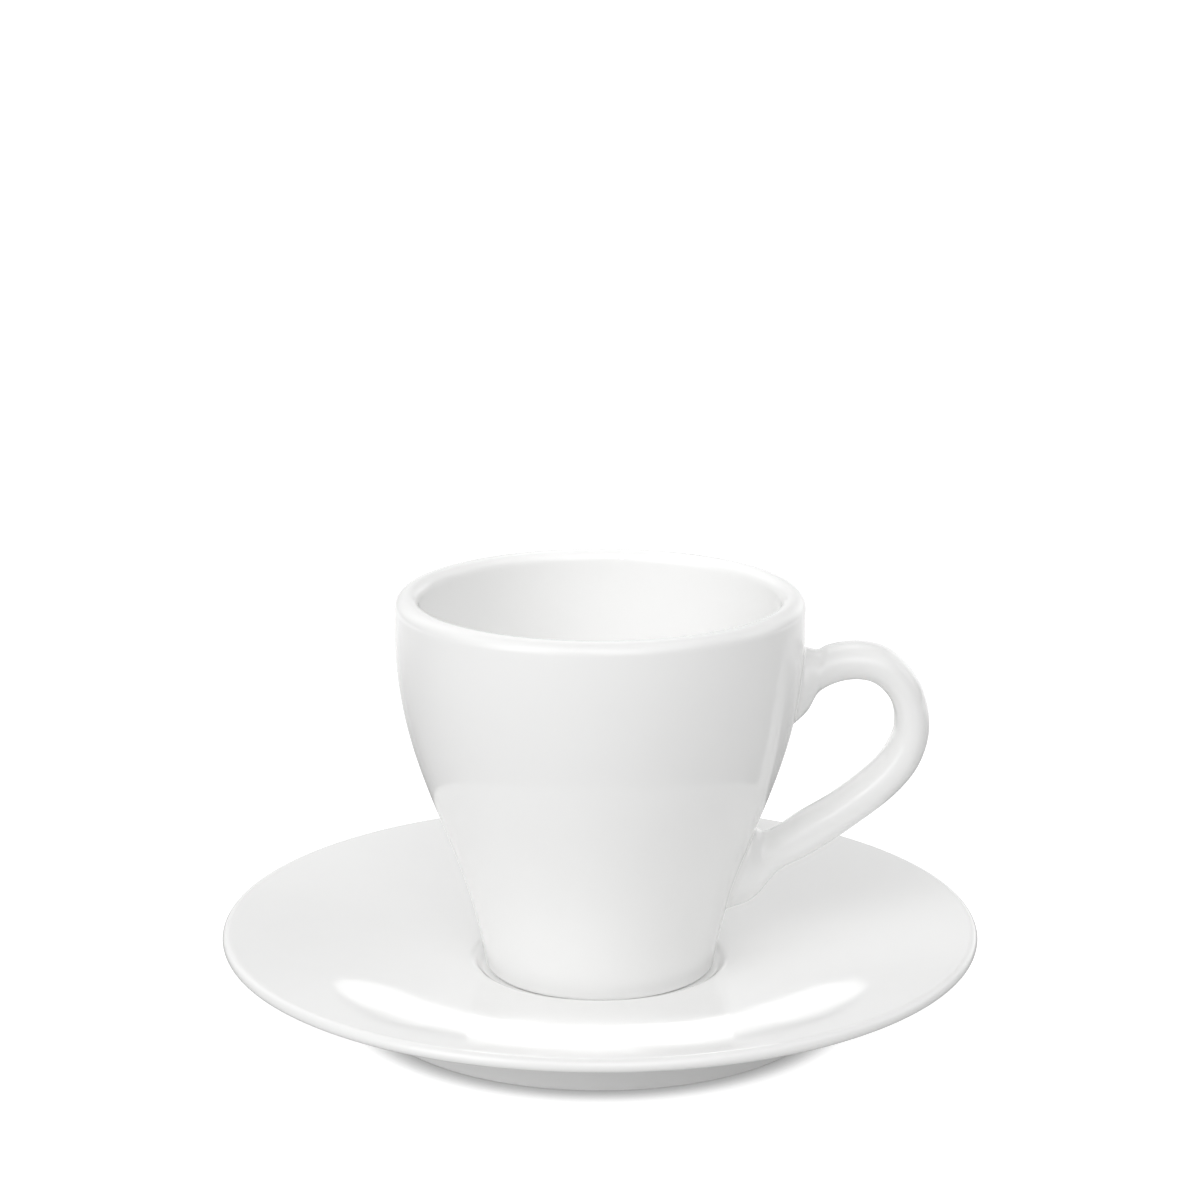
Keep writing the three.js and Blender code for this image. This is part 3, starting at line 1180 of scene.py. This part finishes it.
@dataclass
class Studio:
    """White table, soft light all round, a lamp, a strip of light and the camera. Metres."""

    floor_half: float = 3.0
    floor_bounce: float = 0.4
    floor_glow: float = 0.29
    mirror_shade: float = 0.3
    # Painted reflection: in glossy rays the floor's glow runs from none in front to bright behind.
    painted_reflection_ramp: Ramp = Ramp(low=0.05, high=0.25, start=0.0, end=0.9)
    seen_shade: float = 0.28
    # Painted contact shadow: reach, samples and tones of the occlusion that dims the floor's glow to the
    # camera.
    contact_reach: float = 0.006
    contact_samples: int = 16
    painted_shadow_tones: Ramp = Ramp(low=0.3, high=0.9, start=0.25, end=0.9)
    glow_tightness: float = 22.0
    camera_place: Place = (0.0, -0.47784, 0.18519)
    camera_tilt: float = 76.06
    lens: float = 94.68
    sensor: float = 36.0
    snoot: Snoot = Snoot()
    card: GlintCard = GlintCard()
    glows: tuple[Glow, ...] = (
        Glow(60, 4, 1.5),
        Glow(90, 4, 0.8),
        Glow(120, 4, 0.6),
        Glow(210, 4, 1.1),
        Glow(240, 4, 0.5),
        Glow(15, 25, 1.5),
        Glow(45, 25, 1.0),
        Glow(105, 25, 0.5),
        Glow(135, 25, 1.0),
        Glow(225, 25, 2.7),
        Glow(285, 25, 1.6),
        Glow(0, 46, 0.4),
        Glow(90, 46, 1.4),
        Glow(135, 46, 1.0),
        Glow(180, 46, 0.8),
        Glow(225, 46, 1.7),
        Glow(270, 46, 2.1),
        Glow(315, 46, 1.2),
        Glow(0, 68, 0.8),
    )

    def floor(self) -> bpy.types.Object:
        """Lays the table top.

        Returns:
            The table top.
        """
        half = self.floor_half
        corners = [(-half, -half, 0.0), (half, -half, 0.0), (half, half, 0.0), (-half, half, 0.0)]
        made = mesh_object("studio_floor", corners, [(0, 1, 2, 3)])
        made.data.materials.append(self.floor_material())
        return made

    def floor_material(self) -> bpy.types.Material:
        """Builds the table top's finish.

        It is white to the camera but for the shadow, which is partly real and partly painted shade from
        short-range occlusion. In a mirror it shows a painted reflection, dark in front and bright behind,
        and it glows softly on the ware.

        Returns:
            The new material.
        """
        made, sheet, surface = blank_material("floor_white")
        path = sheet.add("ShaderNodeLightPath")
        lit, _ = self.table(sheet, self.floor_bounce, self.floor_glow)
        mirrored, mirror_glow = self.table(sheet, self.mirror_shade)
        seen, seen_glow = self.table(sheet, self.seen_shade)
        place = sheet.add("ShaderNodeTexCoord")
        apart = sheet.add("ShaderNodeSeparateXYZ")
        sheet.join(place.outputs["Object"], apart.inputs[0])
        # Painted reflection: the floor's glow in mirrors ramps up from front to back.
        sheet.join(self.painted_reflection_ramp.add_to(sheet, apart.outputs["Y"]), mirror_glow)
        # Painted contact shadow: the floor's glow seen by the camera dims where occlusion within a few
        # millimetres is high.
        near = sheet.add(
            "ShaderNodeAmbientOcclusion", samples=self.contact_samples, Distance=self.contact_reach
        )
        sheet.join(self.painted_shadow_tones.add_to(sheet, near.outputs["AO"]), seen_glow)
        bounced = sheet.choose(path.outputs["Is Glossy Ray"], lit, mirrored)
        sheet.join(sheet.choose(path.outputs["Is Camera Ray"], bounced, seen), surface)
        return made

    @staticmethod
    def table(
        sheet: NodeSheet, shade: float, glow: float = 0.0
    ) -> tuple[bpy.types.NodeSocket, bpy.types.NodeSocket]:
        """Adds a matt surface that also glows.

        Args:
            sheet: Sheet to build on.
            shade: Share of light that the surface throws back.
            glow: Strength of its own light.

        Returns:
            The shader's output and the input of the glow's strength.
        """
        matt = sheet.add("ShaderNodeBsdfDiffuse", Color=(shade, shade, shade, 1.0))
        light = sheet.add("ShaderNodeEmission", Color=(1.0, 1.0, 1.0, 1.0), Strength=glow)
        both = sheet.add("ShaderNodeAddShader")
        sheet.join(matt.outputs[0], both.inputs[0])
        sheet.join(light.outputs[0], both.inputs[1])
        return both.outputs[0], light.inputs["Strength"]

    def world(self) -> None:
        """Sets the soft light all round, which is white to the camera."""
        made = bpy.data.worlds.new("studio_world")
        bpy.context.scene.world = made
        made.use_nodes = True
        made.node_tree.nodes.clear()
        sheet = NodeSheet(made.node_tree)
        out = sheet.add("ShaderNodeOutputWorld")
        place = sheet.add("ShaderNodeTexCoord")
        total: bpy.types.NodeSocket | None = None
        for glow in self.glows:
            total = glow.add_to(sheet, place.outputs["Generated"], self.glow_tightness, total)
        light = sheet.add("ShaderNodeBackground", Color=(1.0, 1.0, 1.0, 1.0))
        white = sheet.add("ShaderNodeBackground", Color=(1.0, 1.0, 1.0, 1.0), Strength=1.0)
        path = sheet.add("ShaderNodeLightPath")
        sheet.join(total, light.inputs["Strength"])
        seen = sheet.choose(path.outputs["Is Camera Ray"], light.outputs[0], white.outputs[0])
        sheet.join(seen, out.inputs["Surface"])

    def camera(self) -> bpy.types.Object:
        """Sets up the camera at the photograph's viewpoint.

        Returns:
            The camera.
        """
        data = bpy.data.cameras.new("studio_camera")
        data.lens = self.lens
        data.sensor_width = self.sensor
        made = bpy.data.objects.new("studio_camera", data)
        made.location = self.camera_place
        made.rotation_euler = (math.radians(self.camera_tilt), 0.0, 0.0)
        bpy.context.scene.collection.objects.link(made)
        bpy.context.scene.camera = made
        return made

    def build(self, passed: Sequence[bpy.types.Object]) -> None:
        """Builds the whole studio.

        Args:
            passed: Pieces that the strip's light passes by.
        """
        self.floor()
        self.world()
        self.snoot.build()
        self.card.build(passed)
        self.camera()
        bpy.context.scene.view_settings.view_transform = "Standard"


def main() -> None:
    """Builds the saucer, the cup, its handle and the studio in order."""
    logging.basicConfig(level=logging.INFO, format="%(name)s: %(message)s")
    ripple, specks = firing_ripple_group(), kiln_speck_group()
    finishes = [ceramic.material(ripple, specks) for ceramic in (GLAZE, BISQUE)]
    cup = CupBody()
    saucer_pieces = Saucer().dressed(finishes)
    cup_pieces = [*cup.dressed(finishes), *Handle(cup).dressed(finishes)]
    for piece in (*saucer_pieces, *cup_pieces):
        LOG.info("%s: %d faces", piece.name, len(piece.data.polygons))
    Studio().build(cup_pieces)


if __name__ == "__main__":
    main()
